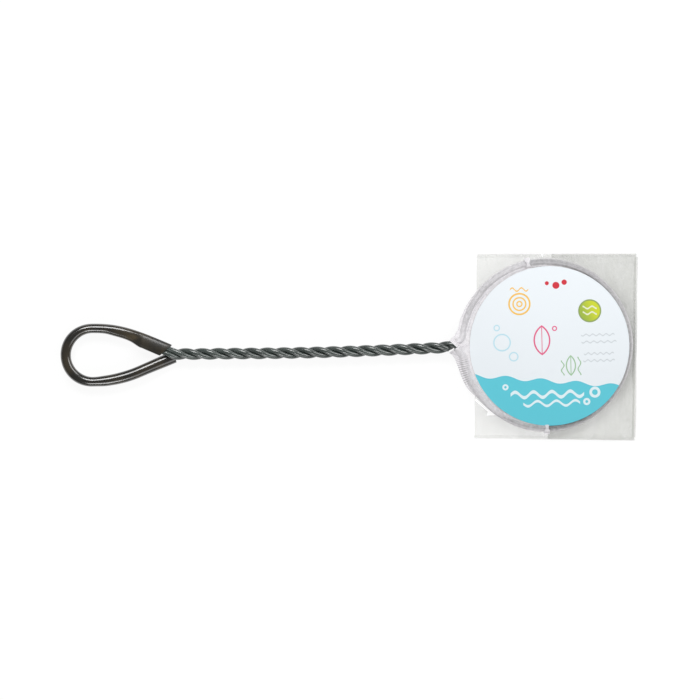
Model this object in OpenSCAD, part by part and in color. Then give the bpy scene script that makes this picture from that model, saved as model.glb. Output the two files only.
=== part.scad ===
// Small hand net for an aquarium, lying flat as it is sold: one coated steel wire
// twisted three-fold into a handle, with a round hoop and a finger loop at its ends,
// a vinyl sleeve on the loop, a mesh bag hemmed on to the hoop and folded flat under
// it, and a loose round card in the mouth of the bag.
// Origin: the hoop's centre, on the surface that the net lies on.
// X runs from the finger loop to the hoop, Z is up.

/* [Hoop] */
// Diameter of the round hoop, measured on the wire's centre line
hoop_d = 100; // [70:1:160]
// Radius of the two bends where the wire leaves the twist and enters the hoop
throat_bend_r = 8; // [6:0.5:11]

/* [Wire] */
// Diameter of the steel core
core_d = 2; // [1.6:0.1:2.4]
// Thickness of the plastic coat on the core
coat_t = 0.5; // [0.4:0.05:0.7]

/* [Handle] */
// Length of the twisted part
twist_l = 166.5; // [120:0.5:260]
// Whole turns of the twist; a fixed part of a turn is added to them
whole_turns = 5; // [4:1:7]
// Sideways bow of the handle at its middle
handle_bow = 1.2; // [0:0.1:4]

/* [Finger loop] */
// Length from the end of the twist to the centre of the loop's round nose
loop_l = 48; // [42:0.5:60]
// Radius of the nose, measured on the wire's centre line
nose_r = 16; // [14:0.5:18]
// Bore of the vinyl sleeve where it holds one wire
sleeve_bore = 4.4; // [4.2:0.1:4.8]
// Wall of the vinyl sleeve
sleeve_t = 0.7; // [0.5:0.05:0.9]

/* [Hem] */
// Thickness of the hem's cloth
hem_t = 0.45; // [0.3:0.05:0.6]
// Width of the stitched edge that the hem adds inside the hoop
hem_edge_w = 3.6; // [3:0.1:5]
// Thickness of the sewing thread
thread_d = 0.3; // [0.2:0.05:0.4]

/* [Bag] */
// How far the folded bag's near edge lies inside the hoop's wire
bag_near_in = 8.5; // [7:0.1:9]
// How far the folded bag's far edge lies outside the hoop's wire
bag_far_out = 4.5; // [3:0.1:12]
// How far the folded bag's upper edge lies outside the hoop's wire
bag_upper_out = 4.5; // [3:0.1:12]
// How far the folded bag's lower edge lies outside the hoop's wire
bag_lower_out = 6.9; // [3:0.1:12]
// Thickness of one layer of the mesh as it lies
mesh_t = 0.5; // [0.3:0.05:0.6]
// Width of the sewn edges
seam_w = 2.2; // [1.5:0.1:3]
// Angle by which the folded bag lies turned
bag_turn = -1.5; // [-3:0.5:0]

/* [Card] */
// How far the card's edge would lie inside the hoop's wire if it lay in its middle
card_inset = 2.6; // [2:0.1:3.4]
// Thickness of the card
card_t = 0.4; // [0.3:0.05:0.8]
// How far the card lies off the hoop's centre, towards the far side
card_shift = 2.4; // [1.8:0.1:3]

/* [Hidden] */
$fn = 96;

// Clearances and overruns
core_gap = 0.03;
strand_gap = 0.06;
soft_gap = 0.2;
case_gap = 0.12;
cut_over = 1;

// Counts of the swept pieces
coat_sides = 10;
core_sides = 5;
sleeve_sides = 12;
rings_per_turn = 12;

// The wire
wire_d = core_d + 2 * coat_t;
wire_r = wire_d / 2;
// A five-sided core of the same section area as the round one
core_poly_share = 1.149;
core_r = core_d / 2 * core_poly_share;
bore_r = core_r + core_gap;

// The twist: three strands, right-handed, each a third of a turn from the next
part_turn_share = 0.665;
turns = whole_turns + part_turn_share;
pitch = twist_l / turns;
start_phase = 21;
full_turn = 360;
ring_step_angle = full_turn / rings_per_turn;
flat_orbit_r = (wire_d + strand_gap) / (2 * sin(60) * cos(ring_step_angle / 2));
lay_slope = 2 * PI * flat_orbit_r / pitch;
lay_share = 0.14;
orbit_r = flat_orbit_r / (1 - lay_share * lay_slope * lay_slope);
phase_a = full_turn / 3;
phase_b = -full_turn / 3;
phase_c = 0;

// The hoop and its throat, where strands b and c bend into the hoop
hoop_r = hoop_d / 2;
twist_x1 = -sqrt(pow(hoop_r + throat_bend_r, 2) - pow(throat_bend_r, 2));
hoop_gap_angle = asin(throat_bend_r / (hoop_r + throat_bend_r));
throat_angle = 90 - hoop_gap_angle;
throat_steps = 9;
turn_rate = full_turn / pitch;

// The finger loop: straight limbs, long side bends and a round nose
twist_x0 = twist_x1 - twist_l;
nose_x = twist_x0 - loop_l;
root_y = wire_d * 5 / 6;
loop_rise = nose_r - root_y;
side_bend_share = 0.815;
side_bend_r = side_bend_share * (pow(loop_l, 2) + pow(loop_rise, 2)) / (2 * loop_rise);
limb_angle = asin(side_bend_r / norm([loop_l, side_bend_r - loop_rise]))
    - atan2(side_bend_r - loop_rise, loop_l);
limb_l = loop_l - side_bend_r * sin(limb_angle);
limb_x = twist_x0 - limb_l;
stub_share = 0.97;
stub_x = twist_x0 - limb_l * stub_share;
pair_step = wire_d + strand_gap;

// Heights: the lower limb passes under the other two wires and rests on the table
sleeve_r = sleeve_bore / 2 + sleeve_t;
pair_rise = wire_d * 0.56;
under_drop = wire_d * 1.08;
axis_z = under_drop + sleeve_r;

// Where each wire leaves the twist, measured from its end along the handle both ways
a_before = wire_d * 1.16;
a_after = wire_d * 0.77;
b_before = wire_d * 2.68;
b_after = wire_d * 1.42;
c_before = wire_d * 1.37;
c_after = wire_d * 1.52;

// The sleeve's two ends and the stretch in which it widens over the stub
pair_end_x = twist_x0 - wire_d * 0.8;
under_end_x = twist_x0 - wire_d * 0.45;
widen_l = wire_d * 5 / 3;
pair_wall_gap = 0.1;

// The hem's casing round the hoop
case_bore_r = wire_r + case_gap;
case_r = case_bore_r + hem_t;
edge_in_r = hoop_r - case_r - hem_edge_w;
edge_t = hem_t * 4 / 3;
seam_angle_up = 101;
seam_angle_low = -90.5;
hem_gap_angle = soft_gap / hoop_r * 180 / PI;
hem_start_angle = full_turn / 2 - hoop_gap_angle - hem_gap_angle * 3;

// The folded bag, in layers from the table up
bag_w = hoop_d - bag_near_in + bag_far_out;
bag_h = hoop_d + bag_upper_out + bag_lower_out;
bag_x = (bag_near_in + bag_far_out) / 2;
bag_y = (bag_upper_out - bag_lower_out) / 2;
layer_gap = mesh_t * 0.6;
layer_pitch = mesh_t + layer_gap;
fold_x = -bag_x + wire_d;
neck_top_z = axis_z - edge_t / 2;
neck_top_r = edge_in_r + hem_edge_w / 4;
near_neck_foot_r = neck_top_r - wire_d * 1.45;
far_neck_foot_r = neck_top_r - wire_d * 0.8;

// The card leans on the casing at the far side and on the hem's edge at the near side
card_r = hoop_r - card_inset;
card_low_z = axis_z + edge_t / 2 + soft_gap;
card_high_z = axis_z + case_r + soft_gap;
card_lean = atan((card_high_z - card_low_z) / (2 * card_r));

coat_colour = [0.17, 0.21, 0.20];
core_colour = [0.72, 0.73, 0.74];
sleeve_colour = [0.12, 0.10, 0.08];
hem_colour = [0.84, 0.82, 0.87];
mesh_colour = [0.88, 0.89, 0.86];
thread_colour = [0.93, 0.93, 0.93];
card_colour = [0.96, 0.97, 0.99];

// Routes of the wire

function unit(v) = v / norm(v);
function smooth(t) = let (c = max(0, min(1, t))) c * c * (3 - 2 * c);
function bow_y(x) = -handle_bow * sin(180 * max(0, min(1, (x - twist_x0) / twist_l)));
function strand_angle(x, phase) = start_phase + phase + turn_rate * (x - twist_x1);

// A point of the twist at x, for the strand of the given phase
function twist_point(x, phase) = [
    x,
    bow_y(x) + orbit_r * cos(strand_angle(x, phase)),
    axis_z + orbit_r * sin(strand_angle(x, phase))
];

// The throat bend: side is 1 for the strand that turns to +Y and -1 for the other
function throat_share(a) = 1 - smooth((a / throat_angle - 0.25) / 0.75);
function throat_point(a, phase, side) =
    let (travel = throat_bend_r * a * PI / 180)
    let (angle = start_phase + phase + turn_rate * travel)
    let (reach = orbit_r * throat_share(a))
    [
        twist_x1 + throat_bend_r * sin(a) - side * sin(a) * reach * cos(angle),
        side * throat_bend_r * (1 - cos(a)) + cos(a) * reach * cos(angle),
        axis_z + reach * sin(angle)
    ];

// A limb's straight line at x; drop is its height at the twist and fades to nothing
function limb_height(x, lift) = axis_z + lift * (1 - smooth((twist_x0 - x) / limb_l));
function limb_point(x, side, lift, inset) = [
    x,
    side * (root_y + (twist_x0 - x) * tan(limb_angle) - inset / cos(limb_angle)),
    limb_height(x, lift)
];

// From the twist on to the limb
function leave_point(x, phase, side, lift, inset, before, after) =
    let (share = smooth((twist_x0 + before - x) / (before + after)))
    twist_point(x, phase) * (1 - share) + limb_point(x, side, lift, inset) * share;

function a_point(x) = leave_point(x, phase_a, -1, -under_drop, 0, a_before, a_after);
function b_point(x) = leave_point(x, phase_b, 1, pair_rise, 0, b_before, b_after);
function c_point(x) = leave_point(x, phase_c, 1, pair_rise, pair_step, c_before, c_after);

ring_step = pitch / rings_per_turn;
twist_rings = floor(twist_l / ring_step);
limb_rings = 8;
throat_stations = [for (i = [0:throat_steps]) throat_angle * (1 - i / throat_steps)];
twist_stations = [for (i = [1:twist_rings]) twist_x1 - i * ring_step];
limb_stations = [for (i = [1:limb_rings]) twist_x0 - limb_l * i / limb_rings];
stub_stations = [for (i = [1:limb_rings]) twist_x0 + (stub_x - twist_x0) * i / limb_rings];

cut_x = twist_x1 - wire_d / 4;
route_a = concat(
    [a_point(cut_x)],
    [for (x = twist_stations) if (x < cut_x - ring_step / 2) a_point(x)],
    [for (x = limb_stations) a_point(x)]
);
route_b = concat(
    [for (a = throat_stations) throat_point(a, phase_b, 1)],
    [for (x = twist_stations) b_point(x)],
    [for (x = limb_stations) b_point(x)]
);
route_c = concat(
    [for (a = throat_stations) throat_point(a, phase_c, -1)],
    [for (x = twist_stations) c_point(x)],
    [for (x = stub_stations) c_point(x)]
);

limb_dir = [-cos(limb_angle), sin(limb_angle), 0];
under_dir = [-cos(limb_angle), -sin(limb_angle), 0];
function throat_dir(side) = [-cos(throat_angle), -side * sin(throat_angle), 0];
cut_dir = unit(a_point(cut_x - ring_step) - a_point(cut_x));

// Swept solids: a ring of points stands square to the route at each of its points

function dirs(route, first, last) = [
    for (i = [0:len(route) - 1])
        i == 0 ? first
        : i == len(route) - 1 ? last
        : unit(route[i + 1] - route[i - 1])
];
function ring(p, dir, r, sides) =
    let (side = unit(cross([0, 0, 1], dir)))
    let (up = cross(dir, side))
    [for (i = [0:sides - 1]) p + r * (cos(360 * i / sides) * side + sin(360 * i / sides) * up)];
function wall(rings, sides, base) = [
    for (k = [0:rings - 2], i = [0:sides - 1])
        let (j = (i + 1) % sides)
        let (a = base + k * sides, b = base + (k + 1) * sides)
        each [[a + i, b + i, b + j], [a + i, b + j, a + j]]
];
function back(faces) = [for (f = faces) [f[2], f[1], f[0]]];
function fan(sides, base) = [for (i = [1:sides - 2]) [base, base + i, base + i + 1]];

module rod(route, first, last, r, sides) {
    ways = dirs(route, first, last);
    rings = len(route);
    polyhedron(
        points = [for (k = [0:rings - 1]) each ring(route[k], ways[k], r, sides)],
        faces = concat(
            wall(rings, sides, 0),
            fan(sides, 0),
            back(fan(sides, (rings - 1) * sides))
        )
    );
}

// The flat end of a coat, between its outer ring and a bore with half as many sides
function coat_end(outer, inner) = [
    for (j = [0:core_sides - 1])
        let (o0 = outer + 2 * j, o1 = o0 + 1, o2 = outer + (2 * j + 2) % coat_sides)
        let (v0 = inner + j, v1 = inner + (j + 1) % core_sides)
        each [[v0, o0, o1], [v0, o1, v1], [v1, o1, o2]]
];

module coat(route, first, last) {
    ways = dirs(route, first, last);
    rings = len(route);
    base = rings * coat_sides;
    polyhedron(
        points = concat(
            [for (k = [0:rings - 1]) each ring(route[k], ways[k], wire_r, coat_sides)],
            [for (k = [0:rings - 1]) each ring(route[k], ways[k], bore_r, core_sides)]
        ),
        faces = concat(
            wall(rings, coat_sides, 0),
            back(wall(rings, core_sides, base)),
            coat_end(0, base),
            back(coat_end((rings - 1) * coat_sides, base + (rings - 1) * core_sides))
        )
    );
}

module coat_arc(bend_r, angle) {
    rotate_extrude(angle = angle)
        translate([bend_r, 0])
            difference() {
                circle(r = wire_r);
                circle(r = core_d / 2 + core_gap);
            }
}

module core_arc(bend_r, angle) {
    rotate_extrude(angle = angle)
        translate([bend_r, 0])
            circle(r = core_d / 2);
}

module hoop_place() {
    translate([0, 0, axis_z]) rotate([0, 0, hoop_gap_angle - full_turn / 2]) children();
}

module hoop_coat() {
    color(coat_colour) hoop_place() coat_arc(hoop_r, full_turn - 2 * hoop_gap_angle);
}

module hoop_core() {
    color(core_colour) hoop_place() core_arc(hoop_r, full_turn - 2 * hoop_gap_angle);
}

module strand_a_coat() {
    color(coat_colour) coat(route_a, cut_dir, under_dir);
}

module strand_b_coat() {
    color(coat_colour) coat(route_b, throat_dir(1), limb_dir);
}

module strand_c_coat() {
    color(coat_colour) coat(route_c, throat_dir(-1), limb_dir);
}

module strand_a_core() {
    color(core_colour) rod(route_a, cut_dir, under_dir, core_r, core_sides);
}

module strand_b_core() {
    color(core_colour) rod(route_b, throat_dir(1), limb_dir, core_r, core_sides);
}

module strand_c_core() {
    color(core_colour) rod(route_c, throat_dir(-1), limb_dir, core_r, core_sides);
}

// The finger loop: a round nose, with a side bend running on from each of its ends
module loop_place() {
    translate([nose_x, 0, axis_z]) rotate([0, 0, full_turn / 4]) children();
}

module side_places() {
    for (side = [0, 1])
        mirror([side, 0, 0])
            translate([nose_r - side_bend_r, 0, 0])
                mirror([0, 1, 0])
                    children();
}

module loop_coat() {
    color(coat_colour)
        loop_place() {
            coat_arc(nose_r, full_turn / 2);
            side_places() coat_arc(side_bend_r, limb_angle);
        }
}

module loop_core() {
    color(core_colour)
        loop_place() {
            core_arc(nose_r, full_turn / 2);
            side_places() core_arc(side_bend_r, limb_angle);
        }
}

// The sleeve's route, from its wide end over the two upper wires, round the nose and
// down the lower limb, with the share to which it is widened over the stub

side_rings = 5;
nose_rings = 16;
function widen(x) = smooth((x - stub_x + widen_l) / widen_l);
function side_point(a, side) = [
    nose_x + side_bend_r * sin(a),
    side * (nose_r - side_bend_r * (1 - cos(a))),
    axis_z
];
sleeve_route = concat(
    [for (i = [0:limb_rings]) b_point(pair_end_x + (limb_x - pair_end_x) * i / limb_rings)],
    [for (i = [1:side_rings]) side_point(limb_angle * (1 - i / side_rings), 1)],
    [for (i = [1:nose_rings])
        let (a = 90 + 180 * i / nose_rings)
        [nose_x + nose_r * cos(a), nose_r * sin(a), axis_z]],
    [for (i = [1:side_rings]) side_point(limb_angle * i / side_rings, -1)],
    [for (i = [1:limb_rings]) a_point(limb_x + (under_end_x - limb_x) * i / limb_rings)]
);
sleeve_first = limb_dir;
sleeve_last = [cos(limb_angle), sin(limb_angle), 0];
sleeve_ways = dirs(sleeve_route, sleeve_first, sleeve_last);
function sleeve_share(k) = sleeve_route[k][1] > 0 ? widen(sleeve_route[k][0]) : 0;
function sleeve_ring(k, wide_r, pair_r) =
    let (share = sleeve_share(k))
    let (dir = sleeve_ways[k])
    let (side = unit(cross([0, 0, 1], dir)))
    let (up = cross(dir, side))
    let (r = wide_r * (1 - share) + pair_r * share)
    let (half = pair_step / 2 * share)
    [
        for (i = [0:sleeve_sides - 1])
            let (a = 360 * (i + 0.5) / sleeve_sides)
            sleeve_route[k] + side * (r * cos(a) + half * sign(cos(a)) + half) + up * r * sin(a)
    ];
sleeve_poly_share = 1 / cos(180 / sleeve_sides);
pair_bore_r = (wire_r + pair_wall_gap) * sleeve_poly_share;

module loop_sleeve() {
    rings = len(sleeve_route);
    base = rings * sleeve_sides;
    last = (rings - 1) * sleeve_sides;
    function rim(outer, inner) = [
        for (i = [0:sleeve_sides - 1])
            let (j = (i + 1) % sleeve_sides)
            each [[inner + i, outer + i, outer + j], [inner + i, outer + j, inner + j]]
    ];
    color(sleeve_colour)
        polyhedron(
            points = concat(
                [for (k = [0:rings - 1]) each sleeve_ring(k, sleeve_r, pair_bore_r + sleeve_t)],
                [for (k = [0:rings - 1]) each sleeve_ring(k, sleeve_bore / 2, pair_bore_r)]
            ),
            faces = concat(
                wall(rings, sleeve_sides, 0),
                back(wall(rings, sleeve_sides, base)),
                rim(0, base),
                back(rim(last, base + last))
            )
        );
}

// The hem: a casing round the hoop with a flat stitched edge on its inner side

module hem_section() {
    difference() {
        union() {
            translate([hoop_r, axis_z]) circle(r = case_r);
            translate([edge_in_r, axis_z - edge_t / 2])
                square([hem_edge_w + case_r / 2, edge_t]);
        }
        translate([hoop_r, axis_z]) circle(r = case_bore_r);
    }
}

module hem(from, to) {
    color(hem_colour)
        rotate([0, 0, from + hem_gap_angle / 2])
            rotate_extrude(angle = to - from - hem_gap_angle)
                hem_section();
}

module near_hem_upper() {
    hem(seam_angle_up, hem_start_angle);
}

module near_hem_lower() {
    hem(-hem_start_angle, seam_angle_low);
}

module far_hem() {
    hem(seam_angle_low, seam_angle_up);
}

// The hem's two ends, drawn together round the twist where the handle comes out
throat_half_z = orbit_r + wire_r + soft_gap;
throat_x0 = twist_x1 - wire_d / 4;
throat_x1 = -hoop_r - case_r - soft_gap * 2;
throat_half_y0 = orbit_r + wire_r + soft_gap;
throat_half_y1 = throat_bend_r;

module throat_plan(over, grow) {
    polygon([
        [throat_x0 - over, -throat_half_y0 - grow],
        [throat_x1 + over, -throat_half_y1 - grow],
        [throat_x1 + over, throat_half_y1 + grow],
        [throat_x0 - over, throat_half_y0 + grow]
    ]);
}

module hem_throat() {
    color(hem_colour)
        difference() {
            translate([0, 0, axis_z - throat_half_z - hem_t])
                linear_extrude(2 * (throat_half_z + hem_t))
                    throat_plan(0, hem_t);
            translate([0, 0, axis_z - throat_half_z])
                linear_extrude(2 * throat_half_z)
                    throat_plan(cut_over, 0);
        }
}

module hem_thread() {
    color(thread_colour)
        rotate([0, 0, -hem_start_angle])
            rotate_extrude(angle = 2 * hem_start_angle)
                translate([hoop_r - case_r - hem_edge_w / 5, axis_z + edge_t / 2 + thread_d / 2])
                    circle(d = thread_d);
}

// The folded bag

module bag_place() {
    translate([bag_x, bag_y, 0]) rotate([0, 0, bag_turn]) children();
}

module neck(from, to, foot_r, foot_z) {
    rotate([0, 0, from + hem_gap_angle])
        rotate_extrude(angle = to - from - 2 * hem_gap_angle)
            polygon([
                [foot_r, foot_z],
                [foot_r + mesh_t, foot_z],
                [neck_top_r + mesh_t, neck_top_z],
                [neck_top_r, neck_top_z]
            ]);
}

inner_h = bag_h - 2 * seam_w;
inner_w = bag_w - seam_w;
near_top_z = mesh_t;
far_top_z = mesh_t + 2 * layer_pitch;

module bag_near_panel() {
    color(mesh_colour) {
        bag_place()
            translate([-bag_w / 2, -inner_h / 2, 0])
                cube([inner_w, inner_h, mesh_t]);
        neck(seam_angle_up, full_turn + seam_angle_low, near_neck_foot_r, near_top_z - mesh_t / 2);
    }
}

// The far panel runs from the hoop to a fold at mid length and back to the end seam
module bag_far_panel() {
    color(mesh_colour) {
        bag_place()
            translate([0, inner_h / 2, 0])
                rotate([90, 0, 0])
                    linear_extrude(inner_h) {
                        translate([fold_x, layer_pitch])
                            square([bag_w / 2 - seam_w - fold_x, mesh_t]);
                        translate([fold_x, 2 * layer_pitch])
                            square([bag_w / 2 - seam_w - fold_x, mesh_t]);
                        translate([fold_x, layer_pitch * 3 / 2 + mesh_t / 2])
                            difference() {
                                circle(r = layer_pitch / 2 + mesh_t / 2);
                                circle(r = layer_pitch / 2 - mesh_t / 2);
                                translate([0, -layer_pitch])
                                    square([layer_pitch, 2 * layer_pitch]);
                            }
                    }
        neck(seam_angle_low, seam_angle_up, far_neck_foot_r, far_top_z - mesh_t / 2);
    }
}

module side_seam(side) {
    color(mesh_colour)
        bag_place()
            translate([-bag_w / 2, side > 0 ? inner_h / 2 : -bag_h / 2, 0])
                cube([bag_w, seam_w, layer_pitch + mesh_t]);
}

module upper_side_seam() {
    side_seam(1);
}

module lower_side_seam() {
    side_seam(-1);
}

module end_seam() {
    color(mesh_colour)
        bag_place()
            translate([bag_w / 2 - seam_w, -inner_h / 2, 0])
                cube([seam_w, inner_h, far_top_z]);
}

module card() {
    color(card_colour)
        translate([card_shift, 0, (card_low_z + card_high_z) / 2])
            rotate([0, -card_lean, 0])
                cylinder(r = card_r, h = card_t);
}

hoop_coat();
hoop_core();
strand_a_coat();
strand_b_coat();
strand_c_coat();
strand_a_core();
strand_b_core();
strand_c_core();
loop_coat();
loop_core();
loop_sleeve();
near_hem_upper();
near_hem_lower();
far_hem();
hem_throat();
hem_thread();
bag_near_panel();
bag_far_panel();
upper_side_seam();
lower_side_seam();
end_seam();
card();
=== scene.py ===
"""Looks of a small aquarium hand net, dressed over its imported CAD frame."""

import math

import bpy
import numpy as np
from bpy.props import FloatProperty, FloatVectorProperty, IntProperty, PointerProperty
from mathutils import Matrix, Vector


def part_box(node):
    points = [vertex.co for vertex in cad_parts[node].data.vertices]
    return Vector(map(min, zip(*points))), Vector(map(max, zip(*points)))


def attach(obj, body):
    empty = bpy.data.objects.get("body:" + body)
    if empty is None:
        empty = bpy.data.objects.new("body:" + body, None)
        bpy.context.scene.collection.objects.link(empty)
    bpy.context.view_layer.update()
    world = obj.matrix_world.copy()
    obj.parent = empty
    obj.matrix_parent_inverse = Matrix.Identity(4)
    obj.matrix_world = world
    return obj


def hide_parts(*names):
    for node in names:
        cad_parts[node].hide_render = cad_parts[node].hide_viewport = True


bl_info = {
    "name": "Aquarium hand net",
    "version": (1, 0, 0),
    "blender": (4, 5, 0),
    "location": "View3D > Sidebar > Hand net",
    "description": "Dresses the hand net's CAD frame in coated wire, vinyl, gauze, mesh and card",
    "category": "Add Mesh",
}

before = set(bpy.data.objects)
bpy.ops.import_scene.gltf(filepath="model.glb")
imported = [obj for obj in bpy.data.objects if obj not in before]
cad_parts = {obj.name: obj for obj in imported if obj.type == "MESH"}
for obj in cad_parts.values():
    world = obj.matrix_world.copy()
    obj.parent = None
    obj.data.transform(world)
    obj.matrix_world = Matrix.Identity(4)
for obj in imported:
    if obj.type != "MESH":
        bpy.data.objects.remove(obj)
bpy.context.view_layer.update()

MM = 0.001
NET = "net"
CARD = "loose_card"

# Sizes read from the CAD frame, in metres.
hoop_low, hoop_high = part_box("hoop_coat")
thread_low, thread_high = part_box("hem_thread")
card_low, card_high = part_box("card")
WIRE_R = (hoop_high.z - hoop_low.z) / 2
AXIS_Z = (hoop_high.z + hoop_low.z) / 2
HOOP_R = (hoop_high.y - hoop_low.y) / 2 - WIRE_R

# The wire's route, with the same sizes as the CAD source, in metres and degrees.
WIRE_D = 2 * WIRE_R
THROAT_R = 8 * MM
TWIST_L = 166.5 * MM
TURNS = 5.665
PITCH = TWIST_L / TURNS
START_PHASE = 21
RING_STEP_ANGLE = 30
LAY_SHARE = 0.14
LOOP_L = 48 * MM
NOSE_R = 16 * MM
STRAND_GAP = 0.06 * MM
TWIST_X1 = -math.sqrt((HOOP_R + THROAT_R) ** 2 - THROAT_R**2)
TWIST_X0 = TWIST_X1 - TWIST_L
NOSE_X = TWIST_X0 - LOOP_L
HOOP_GAP = math.degrees(math.asin(THROAT_R / (HOOP_R + THROAT_R)))
THROAT_ANGLE = 90 - HOOP_GAP
STRAND_SPREAD = 2 * math.sin(math.radians(60)) * math.cos(math.radians(RING_STEP_ANGLE / 2))
FLAT_ORBIT = (WIRE_D + STRAND_GAP) / STRAND_SPREAD
LAY_SLOPE = 2 * math.pi * FLAT_ORBIT / PITCH
ORBIT = FLAT_ORBIT / (1 - LAY_SHARE * LAY_SLOPE**2)
ROOT_Y = WIRE_D * 5 / 6
RISE = NOSE_R - ROOT_Y
SIDE_BEND_SHARE = 0.815
SIDE_R = SIDE_BEND_SHARE * (LOOP_L**2 + RISE**2) / (2 * RISE)
LIMB = math.asin(SIDE_R / math.hypot(LOOP_L, SIDE_R - RISE)) - math.atan2(SIDE_R - RISE, LOOP_L)
LIMB_L = LOOP_L - SIDE_R * math.sin(LIMB)
LIMB_X = TWIST_X0 - LIMB_L
STUB_SHARE = 0.97
STUB_X = TWIST_X0 - LIMB_L * STUB_SHARE
PAIR_STEP = WIRE_D + STRAND_GAP
PAIR_RISE = WIRE_D * 0.56
UNDER_DROP = WIRE_D * 1.08

# The twisted strands look a little stouter than the hoop.
STRAND_R = WIRE_R + 0.1 * MM
STRAND_ORBIT = ORBIT * STRAND_R / WIRE_R
# The handle sags evenly. Past the hoop it lies a little lower, and lower still near the loop.
BOW = 1.2 * MM
HOOP_DIP, HOOP_DIP_L = 0.28 * MM, 12 * MM
LOOP_DIP, LOOP_DIP_X, LOOP_DIP_L = 0.2 * MM, -190 * MM, 20 * MM
LIMB_DIP = 0.5 * MM


class NetWireSettings(bpy.types.PropertyGroup):
    """The plastic-coated wire."""

    coat_colour: FloatVectorProperty(
        name="Coat", description="Colour of the plastic coat", subtype="COLOR", size=3,
        default=(0.031, 0.041, 0.037), min=0, max=1)
    steel_colour: FloatVectorProperty(
        name="Core", description="Colour of the steel core where it is cut", subtype="COLOR", size=3,
        default=(0.55, 0.56, 0.57), min=0, max=1)
    coat_roughness: FloatProperty(
        name="Sheen", description="Roughness of the coat", default=0.25, min=0.05, max=1, subtype="FACTOR")
    sides: IntProperty(name="Sides", description="Points round the wire", default=24, min=8, max=64)


class NetSleeveSettings(bpy.types.PropertyGroup):
    """The vinyl sleeve on the finger loop."""

    colour: FloatVectorProperty(
        name="Vinyl", description="Colour of the vinyl", subtype="COLOR", size=3,
        default=(0.0062, 0.0050, 0.0026), min=0, max=1)
    outer: FloatProperty(
        name="Outer radius", description="Radius of the sleeve over one wire", default=2.9 * MM,
        min=2.2 * MM, max=4 * MM, unit="LENGTH")
    wall: FloatProperty(
        name="Wall", description="Thickness of the vinyl", default=0.7 * MM, min=0.3 * MM, max=1 * MM,
        unit="LENGTH")


class NetHemSettings(bpy.types.PropertyGroup):
    """The gauze hem round the hoop."""

    colour: FloatVectorProperty(
        name="Gauze", description="Colour of the hem's gauze", subtype="COLOR", size=3,
        default=(0.99, 0.965, 1.0), min=0, max=1)
    slack: FloatProperty(
        name="Slack", description="How far the casing stands out past the wire at the far side",
        default=2.1 * MM, min=1.8 * MM, max=4 * MM, unit="LENGTH")
    flange: FloatProperty(
        name="Flange", description="How far the casing runs in from the wire, up to its stitches",
        default=5.6 * MM, min=3 * MM, max=9 * MM, unit="LENGTH")
    pitch: FloatProperty(
        name="Weave", description="Spacing of the gauze's threads", default=0.34 * MM, min=0.1 * MM,
        max=1 * MM, unit="LENGTH")


class NetBagSettings(bpy.types.PropertyGroup):
    """The folded bag of see-through mesh."""

    colour: FloatVectorProperty(
        name="Mesh", description="Colour of the mesh's threads", subtype="COLOR", size=3,
        default=(0.73, 0.74, 0.70), min=0, max=1)
    pitch: FloatProperty(
        name="Weave", description="Spacing of the mesh's threads", default=0.50 * MM, min=0.1 * MM,
        max=2 * MM, unit="LENGTH")
    crease: FloatProperty(
        name="Creases", description="Height of the soft creases in each layer", default=0.16 * MM,
        min=0, max=0.4 * MM, unit="LENGTH")


class NetCardSettings(bpy.types.PropertyGroup):
    """The loose round card."""

    paper: FloatVectorProperty(
        name="Card", description="Colour of the unprinted card", subtype="COLOR", size=3,
        default=(0.865, 0.915, 0.955), min=0, max=1)
    band: FloatVectorProperty(
        name="Band", description="Colour of the printed band", subtype="COLOR", size=3,
        default=(0.125, 0.625, 0.745), min=0, max=1)


class NetStageSettings(bpy.types.PropertyGroup):
    """Floor, lamps and camera."""

    width: FloatProperty(
        name="Picture width", description="Width of the table that the camera sees", default=0.42,
        min=0.2, max=1, unit="LENGTH")
    roll: FloatProperty(
        name="Camera turn", description="Turn of the camera about its line of sight",
        default=math.radians(-1.303), min=-0.2, max=0.2, subtype="ANGLE")
    lamp: FloatProperty(
        name="Lamps", description="Strength of all the lamps", default=1.0, min=0, max=10)


def feed(tree, socket, value):
    """Links a socket or sets its value. A colour comes without its alpha."""
    if isinstance(value, Maths):
        value = value.socket
    if isinstance(value, bpy.types.NodeSocket):
        tree.links.new(value, socket)
    elif socket.type == "RGBA":
        socket.default_value = (*value, 1.0)
    else:
        socket.default_value = value


def add_node(tree, kind, settings=None, sockets=None):
    """Adds a node of that type: its settings first, and then its sockets' values or links."""
    node = tree.nodes.new(kind)
    for key, value in (settings or {}).items():
        setattr(node, key, value)
    for key, value in (sockets or {}).items():
        feed(tree, node.inputs[key], value)
    return node


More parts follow.
